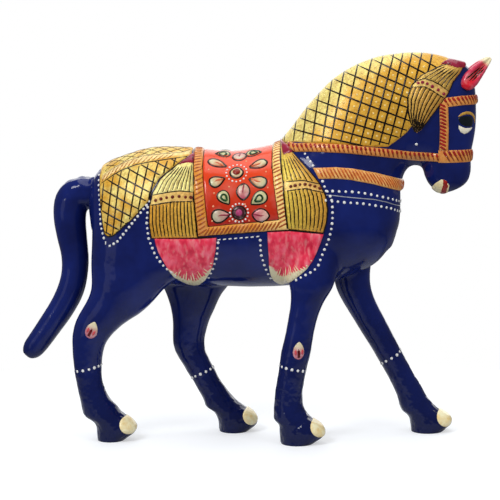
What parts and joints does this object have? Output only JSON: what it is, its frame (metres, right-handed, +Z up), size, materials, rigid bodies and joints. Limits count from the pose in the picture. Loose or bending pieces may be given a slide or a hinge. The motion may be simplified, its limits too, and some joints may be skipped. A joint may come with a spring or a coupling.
{
  "type": "horse figurine",
  "caption": "Enamelled cast-metal walking horse with gold nets, red saddle cloth, tassels, reins and a breast collar; stands free on its four hooves",
  "frame": {"origin": "on the floor under the middle of the figure's bounding box", "axes": "+X towards the head, +Y to the horse's left, +Z up; the right side, at -Y, is the one that the picture shows"},
  "size_m": [0.152, 0.04, 0.1255],
  "materials": {
    "blue_enamel": "glossy deep blue enamel over cast metal",
    "gold_leaf": "crackled gold leaf with black pen lines under clear lacquer",
    "orange_band": "gold-orange lacquer hatched in brown",
    "red_cloth": "translucent vermilion lacquer with painted stones",
    "pink_enamel": "glossy pink enamel",
    "cream_enamel": "glossy cream enamel"
  },
  "bodies": {
    "root": {"body_shell_left": "blue_enamel", "body_shell_right": "blue_enamel", "breast_collar": "orange_band", "browband": "orange_band", "cheek_strap_left": "orange_band", "cheek_strap_right": "orange_band", "croup_net": "gold_leaf", "ear_left": "pink_enamel", "ear_right": "pink_enamel", "eye_left": "cream_enamel", "eye_right": "cream_enamel", "hoof_cap_fore_left": "cream_enamel", "hoof_cap_fore_right": "cream_enamel", "hoof_cap_hind_left": "cream_enamel", "hoof_cap_hind_right": "cream_enamel", "leg_fore_left": "blue_enamel", "leg_fore_right": "blue_enamel", "leg_hind_left": "blue_enamel", "leg_hind_right": "blue_enamel", "mane_net": "gold_leaf", "mouth": "cream_enamel", "noseband": "orange_band", "rein_left": "orange_band", "rein_right": "orange_band", "saddle_border": "orange_band", "saddle_cloth": "red_cloth", "tail": "blue_enamel", "tassel_front_left": "gold_leaf", "tassel_front_right": "gold_leaf", "tassel_poll_left": "gold_leaf", "tassel_poll_right": "gold_leaf", "tassel_rear_left": "gold_leaf", "tassel_rear_right": "gold_leaf", "tassel_tip_front_left": "pink_enamel", "tassel_tip_front_right": "pink_enamel", "tassel_tip_rear_left": "pink_enamel", "tassel_tip_rear_right": "pink_enamel"}
  },
  "joints": []
}
